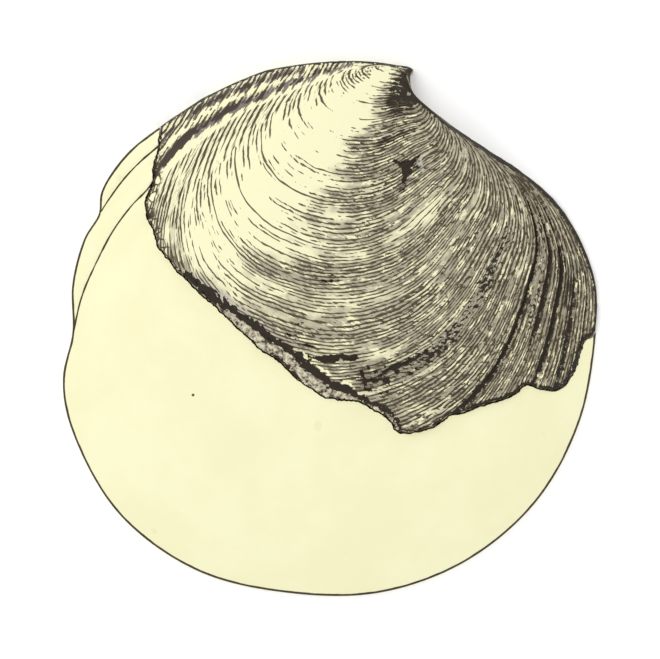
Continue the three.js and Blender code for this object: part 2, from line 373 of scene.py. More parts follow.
def curl_wall(rear):
    """The wall that curls in from the outer face's rear edge down to the hinge."""
    points = []
    for share in np.linspace(0, 1, WALL_ROWS + 1)[1:]:
        inward = WALL_INSET * share**WALL_CURL
        height = 1 - share
        points.append(np.stack([rear[:, 0], rear[:, 1] - inward * rear[:, 2], height * rear[:, 2]], 1))
    return np.stack(points, 1)


def make_mesh(name, vertices, faces, values=None):
    """A mesh from points in millimetres, with a value on each point for every key."""
    mesh = bpy.data.meshes.new(name)
    mesh.from_pydata((vertices * MM).tolist(), [], faces)
    mesh.update()
    for key, value in (values or {}).items():
        layer = mesh.attributes.new(key, "FLOAT", "POINT")
        layer.data.foreach_set("value", np.ascontiguousarray(value, np.float32))
    return mesh


def make_object(name, data):
    thing = bpy.data.objects.new(name, data)
    bpy.context.scene.collection.objects.link(thing)
    return thing


def spread_over_walls(key, value, wall_rows):
    """A value of the outer face, carried on down its foot and over the wall, with one more for the tip."""
    columns = value.shape[1]
    value = np.concatenate([value[:, :1], value, np.repeat(value[:, -1:], wall_rows, axis=1)], axis=1)
    value = np.concatenate([value[:1], value], axis=0)
    on_wall = value[:, columns + 2:]
    if key == "growth":
        value[0] += FOOT_LINES
    elif key == "folds":
        value[0] = 0
    elif key == "around":
        on_wall += WALL_STEP * np.arange(1, wall_rows)
    elif key == "tone":
        on_wall[:] = WALL_TONE
    elif key == "dark":
        value[0] = UNMARKED
        value[:, 0] = UNMARKED
        on_wall[:] = UNMARKED
    return np.r_[value.ravel(), value[-1, 0]]


def valve_body(name, outer, values, steps):
    """A closed body from the outer face: rows from the margin to the beak, columns front to rear.

    steps gives, for each row, how many columns lie between those that are kept.
    """
    columns = outer.shape[1]
    front_foot = outer[:, :1] * (1, 1, 0)
    wall = curl_wall(outer[:, -1])
    grid = np.concatenate([front_foot, outer, wall], axis=1)
    foot = grid[:1] * (1, 1, 0)
    grid = np.concatenate([foot, grid], axis=0)
    steps = np.r_[steps[:1], steps]
    wide = grid.shape[1]
    ids = np.arange(grid.shape[0] * wide).reshape(-1, wide)

    def kept(row):
        return np.union1d(np.arange(1, columns + 1, steps[row]), np.r_[0, 1, np.arange(columns, wide)])

    faces = []
    for i in range(grid.shape[0] - 1):
        here, above = kept(i), kept(i + 1)
        if steps[i] == steps[i + 1]:
            low, high = ids[i, here], ids[i + 1, here]
            faces += np.stack([low[:-1], low[1:], high[1:], high[:-1]], 1).tolist()
            continue
        for a, b in zip(above[:-1], above[1:]):
            between = here[(here >= a) & (here <= b)]
            for c, d in zip(between[:-1], between[1:]):
                faces.append([ids[i, c], ids[i, d], ids[i + 1, a]])
            faces.append([ids[i, b], ids[i + 1, b], ids[i + 1, a]])
    last = ids[-1, kept(-1)]
    tip = grid[-1].mean(0)
    vertices = np.vstack([grid.reshape(-1, 3), tip[None]])
    tip_id = len(vertices) - 1
    for a, b in zip(last, np.roll(last, -1)):
        faces.append([int(a), int(b), tip_id])
    under = [*ids[0].tolist(), *ids[1:, -1].tolist(), *ids[:0:-1, 0].tolist()]
    faces.append(under[::-1])
    padded = {key: spread_over_walls(key, value, wall.shape[1]) for key, value in values.items()}
    used = np.unique(np.concatenate([np.array(face) for face in faces]))
    renumber = np.full(len(vertices), -1)
    renumber[used] = np.arange(len(used))
    faces = [[int(renumber[v]) for v in face] for face in faces]
    mesh = make_mesh(name, vertices[used], faces, {k: v[used] for k, v in padded.items()})
    thing = make_object(name, mesh)
    face_outward(thing)
    return thing


def outward_from_edge():
    """The direction out of the fossil at each place along the broken edge."""
    along = np.gradient(EDGE, axis=0)
    along /= np.linalg.norm(along, axis=1, keepdims=True)
    return np.stack([along[:, 1], -along[:, 0]], 1)


def prism(name, edge, gap):
    """An upright cutting body over the fossil's side of the broken edge, rough down its broken side."""
    far, roughness = 60.0, 0.12
    levels = np.r_[-2.0, np.linspace(0, 19, 28), 24.0]
    loops = []
    for level, z in enumerate(levels):
        rough = roughness * lattice_noise(np.arange(len(edge)) * 0.35, level * 1.7 + 0.5, 21)
        line = edge + outward_from_edge() * (gap + rough)[:, None]
        corners = np.array([(far, line[-1, 1]), (far, far), (line[0, 0], far)])
        ring = np.vstack([line, corners])
        loops.append(np.column_stack([ring, np.full(len(ring), z)]))
    return stacked_body(name, loops)


def stacked_body(name, loops):
    """A closed body from a stack of loops, capped flat at both ends, with its faces outward."""
    length = len(loops[0])
    faces = []
    for i in range(len(loops) - 1):
        for j in range(length):
            a, b = i * length + j, i * length + (j + 1) % length
            faces.append([a, b, b + length, a + length])
    faces.append(list(range(length))[::-1])
    top = (len(loops) - 1) * length
    faces.append(list(range(top, top + length)))
    thing = make_object(name, make_mesh(name, np.vstack(loops), faces))
    face_outward(thing)
    return thing


def face_outward(thing):
    """Turns a closed body's faces outward."""
    work = bmesh.new()
    work.from_mesh(thing.data)
    bmesh.ops.recalc_face_normals(work, faces=work.faces)
    work.to_mesh(thing.data)
    work.free()


def cut(thing, tool, operation):
    """Applies one cut to a body."""
    modifier = thing.modifiers.new("cut", "BOOLEAN")
    modifier.operation = operation
    modifier.solver = "MANIFOLD"
    modifier.object = tool
    bpy.context.view_layer.update()
    result = bpy.data.meshes.new_from_object(thing.evaluated_get(bpy.context.evaluated_depsgraph_get()))
    thing.modifiers.clear()
    old = thing.data
    thing.data = result
    bpy.data.meshes.remove(old)


def hollow_body():
    """The hollow under the valve."""
    rows, columns = 60, 140
    margin_places = 2001
    place = np.linspace(HOLLOW_FROM, HOLLOW_TO, columns)
    margin = smooth_curve(MARGIN, margin_places)[np.round(place * (margin_places - 1)).astype(int)]
    widening = ramp(np.minimum(place - HOLLOW_FROM, HOLLOW_TO - place), 0, 0.12)
    inset = HINGE_WIDTH + (RIM_WIDTH - HINGE_WIDTH) * widening
    length = np.linalg.norm(margin, axis=1)
    margin = margin * ((length - inset) / length)[:, None]
    size = np.linspace(1, HOLLOW_SMALLEST, rows)[:, None]
    grid = grown(margin, size, HOLLOW_SHARE)
    grid[..., 2] -= RIM_EDGE
    loops = [grid[0] * (1, 1, 0) - (0, 0, 1), *grid]
    return stacked_body("hollow", loops)


# The surface of the fossil
EDGE = smooth_curve(BROKEN_EDGE, BREAK_PLACES)
OUTLINE = seen_outline()


def turned_away(normal):
    """How much to take off the outline's dark line where the surface hardly faces up, in mm."""
    return 0.8 * (1 - ramp(normal[..., 2], 0.0, 0.12))


def rough_edge():
    """The broken edge with its small teeth."""
    count = np.arange(BREAK_PLACES)
    crumbly = 1 - ramp(count / (BREAK_PLACES - 1), 0.26, 0.34)
    teeth = 0.10 * lattice_noise(count * 0.16, 0.5, 11)
    teeth += 0.22 * crumbly * (np.abs(lattice_noise(count * 0.09, 3.5, 12)) - 0.4)
    return EDGE + outward_from_edge() * teeth[:, None]


def furrow_shape(points, depth_lower, depth_upper, width):
    """How far two furrows of these depths and this half width sink the outer face."""
    sink = np.zeros(points.shape[:-1])
    for curve, depth in ((LOWER_FURROW, depth_lower), (UPPER_FURROW, depth_upper)):
        distance, _ = nearest(points, smooth_curve(curve, 120))
        sink += depth * np.exp(-((distance / width) ** 2))
    return sink


def off_highlight(size, around):
    """How far round the margin a point lies behind the middle of the painted highlight stripe."""
    return around - (HIGHLIGHT_START + HIGHLIGHT_SWING * size)


def painted_shading(size, around, lower, upper):
    """Painted light and shade, from 0 to 1: a highlight on a stripe down from the beak, shade to both sides.
    """
    off = off_highlight(size, around)
    young = 1 - ramp(size, 0.05, 0.45)
    narrowing = 1 - 0.45 * ramp(size, 0.5, 0.62)
    front = 0.29 * (1 - bell(off, 0, 0.095) * narrowing) + (0.05 + 0.45 * young) * ramp(-off, 0.08, 0.24)
    front += 0.06 * ramp(size, 0.54, 0.6) + 0.1 * ramp(size, 0.7, 0.8)
    front += 0.2 * (1 - ramp(around, 0.06, 0.12)) * plateau(size, 0.35, 0.45, 0.7, 0.8)
    front -= 0.12 * (1 - ramp(around, 0.08, 0.14)) * ramp(size, 0.8, 0.87)
    rear = 0.26 * (1 - bell(off, 0, 0.12) * narrowing)
    rear += 0.07 * ramp(size, 0.4, 0.5) + 0.12 * ramp(size, 0.5, 0.62)
    tone = np.where(off < 0, front, rear)
    tone += 0.03 + 0.1 * ramp(size, 0.3, 0.5)
    # Ring strokes on the light cap of the beak
    tone += 0.24 * (1 - ramp(size, 0.1, 0.16)) * ramp(around - 2.5 * size, 0.2, 0.3)
    # Paler patches low down
    tone -= 0.08 * plateau(around, 0.36, 0.42, 0.54, 0.6) * ramp(size, 0.44, 0.5)
    # Under the lower furrow a strip with a painted highlight, then short strokes
    disc_side = -lower
    strip = 0.9 + 0.8 * ramp(size, 0.2, 0.65)
    strokes = plateau(disc_side, strip, strip + 0.5, 2.5, 6.5) * (1 - ramp(size, 0.5, 0.7))
    tone += 0.1 * strokes * ramp(off, 0.02, 0.05)
    lit_strip = plateau(disc_side, -0.2, 0.3, strip - 0.2, strip + 0.4)
    tone *= 1 - 0.95 * lit_strip * ramp(around, 0.7, 0.75)
    tone -= 0.06 * bell(size, 0.5, 0.07) * bell(around, 0.41, 0.09)
    tone -= 0.07 * bell(size, 0.66, 0.09) * bell(around, 0.15, 0.06)
    # Slanting strokes between the furrows and behind them, painted light on the rib and painted shade at the
    # furrows
    behind = ramp(lower, -0.1, 0.4) * ramp(around, 0.6, 0.7)
    slanting = 0.42 - 0.3 * bell(upper, -1.1, 0.6) - 0.1 * ramp(upper, 0.8, 2.0)
    slanting += 0.3 * bell(lower, 0.1, 0.7) + 0.22 * bell(upper, 0, 0.7)
    tone = tone * (1 - behind) + slanting * behind
    # Painted shadow, nearly black, under the hook of the beak
    hook_end = np.minimum(0.16 + 1.5 * size, 0.31)
    hook = (1 - ramp(around, hook_end - 0.03, hook_end + 0.03)) * plateau(size, 0.035, 0.06, 0.1, 0.23)
    return np.clip(tone + 0.85 * hook, 0, 1)


def growth_grid():
    """The outer face before any sculpture: rows from the margin to the beak, columns front to rear.

    Gives each row's count of growth lines from the beak, each column's place round the margin, how
    large the valve was at each point, and the points.
    """
    smallest = int(SMALLEST_SIZE * LINES * ROWS_PER_LINE)
    phase = (np.arange(LINES * ROWS_PER_LINE, smallest - 1, -1) / ROWS_PER_LINE)[:, None]
    around = np.linspace(0, 1, FOSSIL_COLUMNS)[None]
    margin = drawn_in(smooth_curve(MARGIN, FOSSIL_COLUMNS))
    growth = phase / LINES
    loose = ramp(1 - growth, 0.0, 0.05) * ramp(growth, 0.05, 0.45) * ramp(around, 0, 0.2)
    wobble = 0.8 * lattice_noise(phase / 5.3, 0.5, 1) + 0.5 * lattice_noise(phase / 7.0, around * 9, 2)
    size = np.clip(size_at(growth + loose * wobble / LINES, around), SMALLEST_SIZE, 1)
    rise_share = 1 - SKIN / VALVE_RISE
    notched = ramp(size, 0.84, 0.97)[..., None]
    grid = grown(margin, size, rise_share) * notched
    grid += grown(without_notches(margin), size, rise_share) * (1 - notched)
    return phase, around, size, grid


def line_pitch(plan):
    """How far apart the growth lines lie, in mm."""
    down, across = np.gradient(plan, axis=0), np.gradient(plan, axis=1)
    area = np.abs(down[..., 0] * across[..., 1] - down[..., 1] * across[..., 0])
    return ROWS_PER_LINE * area / np.linalg.norm(across, axis=-1)


def growth_relief(phase, around, size, plan, tone, pitch):
    """Growth ridges with a groove at each whole number, worn flat where the fossil is painted light."""
    groove_depth, wave_depth, roughness = 0.09, 0.1, 0.05
    step = np.mod(phase, 1)
    ridge = np.where(step < 0.1, 0.0, np.where(step < 0.5, 0.8, 1.0))
    each = lattice_noise(np.round(phase), around * 8, 3)
    strength = np.clip(0.7 + 0.4 * each, 0.1, 1.2) * (0.2 + 0.8 * ramp(tone, 0.05, 0.4))
    grooves = groove_depth * strength * (1 - ridge) * ramp(size, 0.03, 0.15) * ramp(pitch, 0.1, 0.5)
    front = 1 - ramp(around, 0.3, 0.46)
    waves = wave_depth * front * ramp(phase / LINES, 0.4, 0.7)
    waves *= 1 - lattice_noise(phase / 4.0, around * 3, 4)
    return -grooves - waves - roughness * ramp(tone, 0.1, 0.4) * plan_noise(plan, 1 / 0.9, 5)


def halts(growth, around):
    """The relief of the deep halts, and how far inside their dark grooves each point lies."""
    relief, dark = 0, FAR_OUTSIDE
    growth_to_mm = 46.0
    lip_share = 0.25
    for at, half_width, depth, start, end in HALTS:
        seed = int(at * 1000)
        place = at + 0.0035 * lattice_noise(around * 14, 0.5, seed)
        place += 0.0016 * lattice_noise(around * 70, 0.5, seed + 1)
        fading = plateau(around, start - 0.03, start + 0.04, end - 0.05, end)
        off = growth - place
        relief = relief - depth * fading * bell(off, 0, half_width)
        # Each halt ends in a lip that stands over the groove
        relief = relief + lip_share * depth * fading * ramp(off, -4 * half_width, -half_width) * (off < 0)
        dark = np.maximum(dark, (half_width - np.abs(off)) * growth_to_mm - 0.8 * (1 - fading))
    return relief, dark


def long_lines(phase, around):
    """Where single growth lines cross the bare stripe."""
    full = 0
    for number, start, end in LONG_LINES:
        span = plateau(around, start - 0.02, start, end, end + 0.02)
        full = np.maximum(full, span * ramp(0.8 - np.abs(phase - number), 0, 0.4))
    return full


def broken_margin(plan, room):
    """The ledge by the break where a layer has flaked off, and the steep step up from it in painted shadow.

    Gives how far they sink the surface, how far inside their dark marks each point lies, a painted
    highlight on the lip above the step, and what the material reads.
    """
    distance, place = nearest(plan, EDGE)
    along = place / (BREAK_PLACES - 1)
    tables = (LEDGE_REACH, STEP_WIDTH, EDGE_LINE_WIDTH)
    start, width, line = (np.interp(along, *zip(*table)) for table in tables)
    ragged = 0.26 * plan_noise(plan, 1.1, 31) + 0.3 * plan_noise(plan, 2.9, 32)
    from_edge = distance + ragged * ramp(width, 0.1, 0.6)
    drop = 0.15 + 0.65 * ramp(width, 0.1, 0.6)
    bevel = np.clip(width, 0.35, 1)
    sink = np.minimum(drop * (1 - ramp(from_edge, start, start + bevel)), 0.45 * room + 0.1)
    stepped = width > 0.05
    step_shadow = np.minimum(from_edge - start, start + width - from_edge)
    step_shadow -= 0.5 * np.maximum(plan_noise(plan, 2.1, 33) - 0.25, 0)
    dark = np.maximum(np.where(stepped, step_shadow, FAR_OUTSIDE), line - distance)
    above = from_edge - start - width
    lip_highlight = bell(above, 0.2, 0.16) * plateau(along, 0.43, 0.46, 0.55, 0.57)
    marks = {
        "ledge": np.clip(np.where(stepped, start - from_edge, -1), -1, 1),
        "crumbs": plateau(along, 0.07, 0.1, 0.22, 0.27) * (1 - ramp(distance, 0.9, 1.6)),
        "smear": plateau(along, 0.25, 0.3, 0.4, 0.46) * (1 - ramp(above, 0.3, 1.3)),
    }
    return sink, dark, lip_highlight, marks


def fossil_surface():
    """The sculptured outer face of the fossil, and what its material reads."""
    phase, around, size, grid = growth_grid()
    growth = phase / LINES
    plan = grid[..., :2]
    room = grid[..., 2] - RIM_EDGE
    normal = surface_normals(grid)
    pitch = line_pitch(plan)
    lower = side_of(plan, smooth_curve(LOWER_FURROW, 400))
    upper = side_of(plan, smooth_curve(UPPER_FURROW, 400))
    darker_band = stroke_depth(plan, [DARKER_BAND])
    # The tone is painted light and shade: how densely grey and strokes cover the shell
    tone = np.minimum(painted_shading(size, around, lower, upper) + 0.22 * ramp(darker_band, -0.8, 0.8), 1)

    scar_depth, chip_depth = 0.45, 0.2
    lower_depth, upper_depth, furrow_width = 0.95, 0.6, 1.15
    halt_relief, halt_dark = halts(growth, around)
    scars = stroke_depth(plan, SCARS) + 0.25 * plan_noise(plan, 2, 6)
    chips = stroke_depth(plan, [(x, y, x + 0.01, y, r, r) for x, y, r in CHIPS])
    relief = growth_relief(phase, around, size, plan, tone, pitch) + halt_relief
    relief -= scar_depth * ramp(scars, -0.25, 0.3) + chip_depth * ramp(chips, -0.3, 0.2)
    break_sink, break_dark, lip_highlight, break_marks = broken_margin(plan, room)
    grid = grid + normal * np.minimum(relief, 0)[..., None]
    furrow_sink = furrow_shape(plan, lower_depth, upper_depth, furrow_width)
    grid[..., 2] -= np.minimum(furrow_sink, room / 2) + break_sink

    # How far inside a solid dark mark each point lies. The outline's line is thicker in front.
    # The painted shadow under the hook, broken by streaks along the growth lines
    shade = stroke_depth(plan, HOOK_SHADE) + 0.7 * lattice_noise(phase / 1.1, around * 50, 7)
    under, _ = nearest(plan, OUTLINE)
    outline = 0.34 + 0.28 * (1 - ramp(around, 0.13, 0.24)) - under
    facing_up = np.maximum(np.maximum(shade, outline), stroke_depth(plan, [BEAK_LINE])) - turned_away(normal)
    unchipped = np.minimum(scars, 0.1 - chips)
    dark = np.maximum(np.maximum(halt_dark, unchipped), np.maximum(break_dark, facing_up))

    narrow = (0.6 + 0.4 * ramp(size, 0.15, 0.55)) * (1 - 0.6 * ramp(size, 0.705, 0.75))
    furrow = np.maximum(0.75 * narrow - np.abs(lower), 0.6 * narrow - np.abs(upper))
    # Widens the darkest painted shade on the lower furrow's floor for a stretch
    solid = 0.15 * plateau(size, 0.5, 0.7, 0.705, 0.735)
    pitted = bell(growth, 0.632, 0.022) * plateau(around, 0.17, 0.22, 0.38, 0.46)
    pitted += bell(growth, 0.778, 0.014) * plateau(around, 0.14, 0.17, 0.24, 0.28)
    # How many times the growth lines are to be thinned out by half where they crowd together
    off = off_highlight(size, around)
    wanted = 0.5 + 0.22 * ramp(off, 0.0, 0.08)
    everywhere = np.ones_like(size)
    values = {
        "growth": phase * everywhere,
        "around": MARGIN_LENGTH * around * np.maximum(size, 0.05),
        "crowding": np.clip(np.log2(wanted / np.maximum(pitch, 0.03)), 0, 4),
        "full": long_lines(phase, around) * everywhere,
        "slant": (plan @ (math.sin(STROKE_SLOPE), -math.cos(STROKE_SLOPE))) / SLANT_PITCH,
        "slant_along": plan @ (math.cos(STROKE_SLOPE), math.sin(STROKE_SLOPE)),
        "folds": ramp(lower, -0.5, -0.3) * ramp(around, 0.66, 0.7) * ramp(size, 0.15, 0.19),
        "furrow": np.clip(furrow, -1.5, 1),
        "solid": solid * (upper < -1),
        "tone": tone * (1 - lip_highlight),
        "shaded": (1 - ramp(around, 0.1, 0.2)) * ramp(size, 0.12, 0.3),
        # Where the grey of the painted shade may lie: in front of the highlight stripe
        "front_shade": 1 - ramp(off, -0.03, 0.05),
        "dark": np.clip(dark, -1.5, 1),
        "chips": np.clip(chips, -1, 1),
        "pitted": pitted,
        **break_marks,
        "outside": everywhere,
    }
    row_growth = growth[:, 0]
    steps = np.where(row_growth < QUARTER_COLUMNS_UNDER, 4, np.where(row_growth < HALF_COLUMNS_UNDER, 2, 1))
    return grid, values, steps


def restored_surface():
    """The plain outer face of the restored part, and what its material reads."""
    near_rim = 1 - np.array([0, 0.0012, 0.0026, 0.0045, 0.007])
    size = np.r_[near_rim, np.linspace(0.985, SMALLEST_SIZE, RESTORED_ROWS)][:, None]
    size = size * np.ones(RESTORED_COLUMNS)
    grid = grown(drawn_in(smooth_curve(MARGIN, RESTORED_COLUMNS)), size, RESTORED_SHARE)
    plan = grid[..., :2]
    room = grid[..., 2] - RIM_EDGE
    sink = furrow_shape(plan, 0.35, 0.3, 1.6) + furrow_shape(plan, 0.3, 0.3, 0.35)
    distance, _ = nearest(plan, EDGE)
    sink += np.minimum(0.45 * np.exp(-((distance / 5) ** 2)), room / 4)
    sink -= 0.03 * plan_noise(plan, 1 / 6, 41)
    grid[..., 2] -= np.clip(sink, 0, room / 2)
    under, _ = nearest(plan, OUTLINE)
    facing = turned_away(surface_normals(grid))
    grid[..., 2] -= 0.2 * (1 - ramp(under, 0, 0.3)) ** 2
    values = {
        "lower_crease": side_of(plan, smooth_curve(LOWER_FURROW, 800)),
        "upper_crease": side_of(plan, smooth_curve(UPPER_FURROW, 800)),
        "dark": 0.33 - under - facing,
        "outside": np.ones_like(size),
    }
    return grid, values, np.ones(len(size), int)


def points_of(mesh):
    places = np.zeros(len(mesh.vertices) * 3, np.float32)
    mesh.vertices.foreach_get("co", places)
    return places.reshape(-1, 3)


def values_of(mesh, keys):
    found = {}
    for key in keys:
        found[key] = np.zeros(len(mesh.vertices), np.float32)
        mesh.attributes[key].data.foreach_get("value", found[key])
    return found


def mend_values(mesh, source_points, source_values):
    """Gives points that a cut made near the outer face the values of its nearest point.

    Answers which faces belong to the inside.
    """
    tree = KDTree(len(source_points))
    for index, place in enumerate(source_points):
        tree.insert(place, index)
    tree.balance()
    keys = list(source_values)
    values = values_of(mesh, ["outside", *keys])
    outside = values["outside"]
    places = points_of(mesh)
    surely_outside = 0.999
    for v in np.flatnonzero(outside < surely_outside):
        _, index, distance = tree.find(places[v])
        if distance < MEND_REACH:
            outside[v] = 1
            for key in keys:
                values[key][v] = source_values[key][index]
    for key, value in values.items():
        mesh.attributes[key].data.foreach_set("value", value)
    corners = np.zeros(len(mesh.loops), np.int32)
    mesh.loops.foreach_get("vertex_index", corners)
    starts = np.zeros(len(mesh.polygons), np.int32)
    mesh.polygons.foreach_get("loop_start", starts)
    return np.minimum.reduceat(outside[corners], starts) < surely_outside


# Materials
def socket_in(socket, value):
    """Links or sets a shader socket."""
    if isinstance(value, bpy.types.NodeSocket):
        socket.id_data.links.new(value, socket)
    else:
        socket.default_value = value


def new_node(known, kind):
    """A new shader node in the same tree as a known socket."""
    return known.id_data.nodes.new("ShaderNode" + kind)


def calc(operation, *values):
    known = next(value for value in values if isinstance(value, bpy.types.NodeSocket))
    node = new_node(known, "Math")
    node.operation = operation
    for socket, value in zip(node.inputs, values):
        socket_in(socket, value)
    return node.outputs[0]


def plus(first, *others):
    for other in others:
        first = calc("ADD", first, other)
    return first


def minus(first, second):
    return calc("SUBTRACT", first, second)


def times(first, *others):
    for other in others:
        first = calc("MULTIPLY", first, other)
    return first


def fade(value, start, end, low=0.0, high=1.0, curve="SMOOTHSTEP"):
    """From low at start to high at end, and level beyond both."""
    node = new_node(value, "MapRange")
    node.interpolation_type = curve
    sockets = ("Value", "From Min", "From Max", "To Min", "To Max")
    for name, item in zip(sockets, (value, start, end, low, high)):
        socket_in(node.inputs[name], item)
    return node.outputs[0]


def fade_straight(value, start, end, low, high):
    return fade(value, start, end, low, high, "LINEAR")


def spread(noise, low, high):
    """Spreads a noise, which mostly lies from 0.3 to 0.7, from low to high."""
    return fade_straight(noise, 0.3, 0.7, low, high)


def blend(share, first, second):
    node = new_node(share, "Mix")
    node.data_type = "RGBA"
    socket_in(node.inputs[0], share)
    socket_in(node.inputs[6], first)
    socket_in(node.inputs[7], second)
    return node.outputs[2]


def attribute(tree, name):
    node = new_node(tree, "Attribute")
    node.attribute_name = name
    return node.outputs["Fac"]


def pattern(vector, scale, detail=2.0, roughness=0.5, dimensions="3D"):
    node = new_node(vector, "TexNoise")
    node.noise_dimensions = dimensions
    socket_in(node.inputs["Vector"], vector)
    node.inputs["Scale"].default_value = scale
    node.inputs["Detail"].default_value = detail
    node.inputs["Roughness"].default_value = roughness
    return node.outputs["Fac"]


def cell_borders(vector, scale):
    node = new_node(vector, "TexVoronoi")
    node.feature = "DISTANCE_TO_EDGE"
    socket_in(node.inputs["Vector"], vector)
    node.inputs["Scale"].default_value = scale
    return node.outputs["Distance"]


def object_place(tree):
    return new_node(tree, "TexCoord").outputs["Object"]


def vector_calc(operation, first, second):
    node = new_node(first, "VectorMath")
    node.operation = operation
    socket_in(node.inputs[0], first)
    socket_in(node.inputs[1], second)
    return node.outputs


def distance_in_plan(place, centre):
    """How far a place lies from an upright line through a point given in millimetres."""
    flat = vector_calc("MULTIPLY", place, (1, 1, 0))["Vector"]
    return vector_calc("DISTANCE", flat, (centre[0] * MM, centre[1] * MM, 0))["Value"]


def srgb(red, green, blue):
    """The surface colour that looks like the given one, from 0 to 255, in the studio's light."""
    def linear(value):
        value /= 255
        return (value / 12.92 if value <= 0.04045 else ((value + 0.055) / 1.055) ** 2.4) / STUDIO_LIGHT
    return (linear(red), linear(green), linear(blue), 1.0)


CREAM = srgb(249, 246, 204)
PLASTER, PLASTER_SHADE = srgb(251, 249, 207), srgb(249, 245, 201)
PLASTER_SPOT, PLASTER_SPECK, PLASTER_LINE = srgb(190, 178, 140), srgb(90, 84, 70), srgb(66, 56, 40)
# Greys of the painted shade on the shell
GREY, DEEP_GREY, DARK_GREY = srgb(178, 171, 148), srgb(156, 148, 126), srgb(118, 110, 92)
# A grey smear by the break, and the painted shade of the furrows, lighter and darkest
SMEAR, FURROW_SHADE, FURROW_FLOOR_SHADOW = srgb(190, 182, 168), srgb(132, 121, 114), srgb(72, 62, 52)
PALE_STROKE, STROKE, INK = srgb(100, 92, 68), srgb(78, 68, 48), srgb(44, 36, 24)
PIT_GROUND, CHIP = srgb(190, 183, 158), srgb(192, 190, 176)
LEDGE_STONE, LEDGE_SHADE, LEDGE_SPECK = srgb(226, 219, 188), srgb(176, 167, 146), srgb(70, 60, 46)
INSIDE_DARK, INSIDE_PALE = srgb(150, 138, 110), srgb(222, 213, 178)


def new_material(name, roughness):
    material = bpy.data.materials.new(name)
    material.use_nodes = True
    tree = material.node_tree
    shader = tree.nodes["Principled BSDF"]
    shader.inputs["Roughness"].default_value = roughness
    shader.inputs["Specular IOR Level"].default_value = 0.25
    return material, tree, shader


def set_colour(shader, colour):
    socket_in(shader.inputs["Base Color"], colour)


def add_bump(shader, height, strength, distance):
    node = new_node(height, "Bump")
    node.inputs["Strength"].default_value = strength
    node.inputs["Distance"].default_value = distance
    socket_in(node.inputs["Height"], height)
    socket_in(shader.inputs["Normal"], node.outputs[0])


def noise_on_lines(growth, around, per_line, per_mm, detail):
    """A pattern in the growth lines' own coordinates."""
    node = new_node(growth, "CombineXYZ")
    socket_in(node.inputs[0], times(growth, per_line))
    socket_in(node.inputs[1], times(around, per_mm))
    return pattern(node.outputs[0], 1.0, detail, 0.6, "2D")


def growth_strokes(growth, around, tone, crowding=0.0, full=None):
    """Dark broken strokes on the growth lines, and the pattern that breaks them."""
    drift = noise_on_lines(growth, around, 0.3, 0.3, 1.0)
    growth = plus(growth, fade_straight(drift, 0.2, 0.8, -0.24, 0.24))
    # Only every second or fourth line is drawn where they crowd
    patches = noise_on_lines(growth, around, 0.15, 0.25, 0.0)
    crowding = plus(crowding, fade_straight(patches, 0.2, 0.8, -0.12, 0.12))
    gap = calc("POWER", 2.0, calc("ROUND", calc("MAXIMUM", crowding, 0.0)))
    growth = calc("DIVIDE", growth, gap)
    line = calc("ROUND", growth)
    off_line = calc("ABSOLUTE", minus(growth, line))
    fine = noise_on_lines(line, around, 7.31, 0.5, 3.0)
    slow = noise_on_lines(line, around, 3.77, 0.09, 1.0)
    mixed = plus(times(fine, 0.42), times(slow, 0.58))
    needed = fade_straight(tone, 0.02, 0.42, 0.6, 0.37)
    presence = fade(minus(mixed, needed), -0.01, 0.05)
    if full:
        presence = calc("MAXIMUM", presence, full)
    thick = fade_straight(tone, 0.05, 0.7, 0.19, 0.25)
    thick = plus(thick, fade(tone, 0.65, 1.0, 0.0, 0.36))
    swelling = spread(noise_on_lines(line, around, 5.13, 0.9, 2.0), 0.5, 1.45)
    width = times(thick, swelling, presence)
    if full:
        width = calc("MAXIMUM", width, times(full, 0.23))
    body = fade(minus(width, off_line), -0.05, 0.05)
    return times(body, fade(presence, 0.05, 0.4)), mixed


def shaded_ground(read, line_noise, slant_noise, tone, uneven):
    """Cream, with grey painted shade where the fossil is dark, streaked along the growth lines and the
    furrows.
    """
    # Grey painted shade and its dark patches lie only in front of the highlight stripe
    front_shade = read("front_shade")
    streaks = plus(line_noise(0.45, 0.35, 4.0), times(read("shaded"), 0.12))
    grey = times(fade(uneven, 0.2, 0.42), fade(streaks, 0.37, 0.47), front_shade)
    deep = blend(fade(tone, 0.42, 0.7), GREY, DEEP_GREY)
    colour = blend(grey, CREAM, deep)
    # Dark grey patches in the painted shade
    shade_patches = times(fade(uneven, 0.25, 0.6), fade(line_noise(0.55, 0.6, 3.0), 0.5, 0.62))
    colour = blend(times(shade_patches, front_shade, 0.8), colour, DARK_GREY)
    colour = blend(times(read("smear"), 0.85), colour, SMEAR)
    # Painted shade along the furrows
    furrow_shading = plus(read("furrow"), spread(slant_noise(0.9, 0.3, 3.0), -0.75, 0.6))
    return blend(fade(furrow_shading, -0.1, 0.1), colour, FURROW_SHADE)


